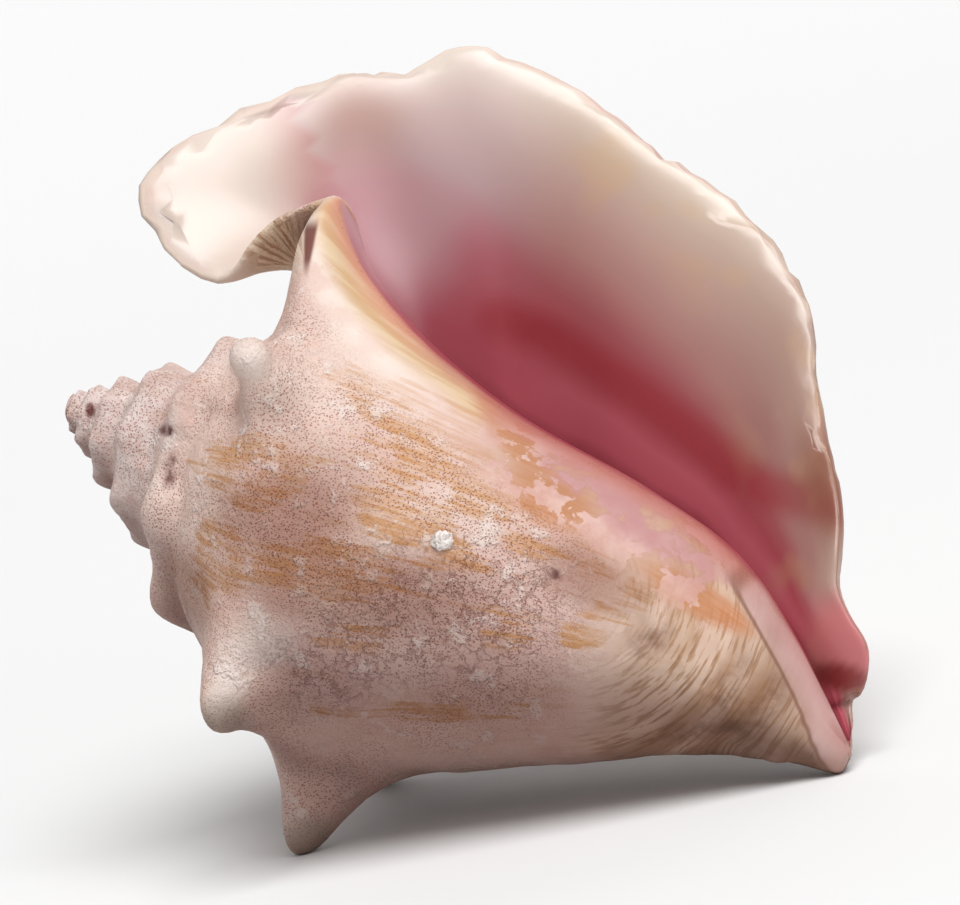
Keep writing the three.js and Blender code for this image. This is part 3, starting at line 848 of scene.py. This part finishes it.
# %% The crust
CRUST_PIXEL, CRUST_RADIUS, CRUST_HEIGHT = (442, 541), 0.0028, 0.0019
crust_face, crust_place = face_at_pixel(mesh, CRUST_PIXEL)
crust_up = mesh.polygons[crust_face].normal
bpy.ops.object.select_all(action="DESELECT")
bpy.ops.mesh.primitive_ico_sphere_add(subdivisions=5, radius=1)
crust = bpy.context.active_object
crust.name = "crust"
ball = places(crust.data)
bumps = lumps(ball, 0.5, 7) * 0.2 + lumps(ball, 0.22, 8) * 0.13
ball = ball * (1 + bumps)[:, None] * np.array([CRUST_RADIUS, CRUST_RADIUS * 0.9, CRUST_HEIGHT])
upright = np.array(crust_up.to_track_quat("Z", "Y").to_matrix())
ball = ball @ upright.T + np.array(crust_place)
crust.data.vertices.foreach_set("co", ball.astype(np.float32).ravel())
crust.data.update()
bpy.ops.object.shade_smooth()
chalk_finish = Finish("crust_finish")
spot = chalk_finish.node("ShaderNodeTexCoord", output="Object")
speck = chalk_finish.noise(spot, 900, 4, 0.65)
crust_colour = chalk_finish.blend(speck.step(0.35, 0.6), colour("b9a9a4"), colour("ece5e0"))
crust_shader = chalk_finish.node("ShaderNodeBsdfPrincipled", {}, {
    "Base Color": crust_colour, "Roughness": 0.85, "Normal": chalk_finish.bump(speck, 0.0004)})
chalk_finish.node("ShaderNodeOutputMaterial", {}, {"Surface": crust_shader})
crust.data.materials.append(chalk_finish.material)
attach(crust, "root")
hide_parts("shell")
print("crust sits at", [round(v, 4) for v in crust_place])

# %% [markdown]
# ## Floor and light
# A plain pale floor and broad soft lights, as in a small photo studio. The main light is high on the
# right; the underside of the shell falls into a soft brownish shade, much of it painted into its colour.

# %% Floor
SWEEP_FROM, SWEEP_EASE = 2.0, 12.0      # metres behind the shell where the paper starts to curve up

bpy.ops.object.select_all(action="DESELECT")
bpy.ops.mesh.primitive_grid_add(size=40, x_subdivisions=2, y_subdivisions=200, location=(0, 0, 0))
floor = bpy.context.active_object
floor.name = "floor"
sheet = places(floor.data)
past_bend = np.clip(sheet[:, 1] - SWEEP_FROM, 0, None)
sheet[:, 2] = past_bend ** 2 / SWEEP_EASE
floor.data.vertices.foreach_set("co", sheet.astype(np.float32).ravel())
bpy.ops.object.shade_smooth()
paper = Finish("floor_paper")
sheet_shader = paper.node("ShaderNodeBsdfPrincipled", {}, {
    "Base Color": colour("e7e7e7"), "Roughness": 0.9})
paper.node("ShaderNodeOutputMaterial", {}, {"Surface": sheet_shader})
floor.data.materials.append(paper.material)

# %% Lights
SKY_STRENGTH, SUN_STRENGTH = 0.22, 2.9
SUN_TRAVELS = (-0.14, 0.4, -0.9)
world = bpy.data.worlds.new("studio")
bpy.context.scene.world = world
world.use_nodes = True
world.node_tree.nodes["Background"].inputs["Color"].default_value = (1, 1, 1, 1)
world.node_tree.nodes["Background"].inputs["Strength"].default_value = SKY_STRENGTH


def soft_light(name, at, target, size, power):
    """A square area light that looks at a target."""
    lamp = bpy.data.lights.new(name, "AREA")
    lamp.energy, lamp.size = power, size
    holder = bpy.data.objects.new(name, lamp)
    holder.location = at
    holder.rotation_euler = (Vector(target) - Vector(at)).to_track_quat("-Z", "Y").to_euler()
    bpy.context.scene.collection.objects.link(holder)


sun = bpy.data.lights.new("high_light", "SUN")
sun.energy, sun.angle = SUN_STRENGTH, math.radians(40)
sun_holder = bpy.data.objects.new("high_light", sun)
sun_holder.rotation_euler = Vector(SUN_TRAVELS).to_track_quat("-Z", "Y").to_euler()
bpy.context.scene.collection.objects.link(sun_holder)
soft_light("gloss_light", (0.5, -0.8, 0.55), (0, 0, 0.1), 0.35, 1.2)
bpy.context.scene.view_settings.view_transform = "Standard"
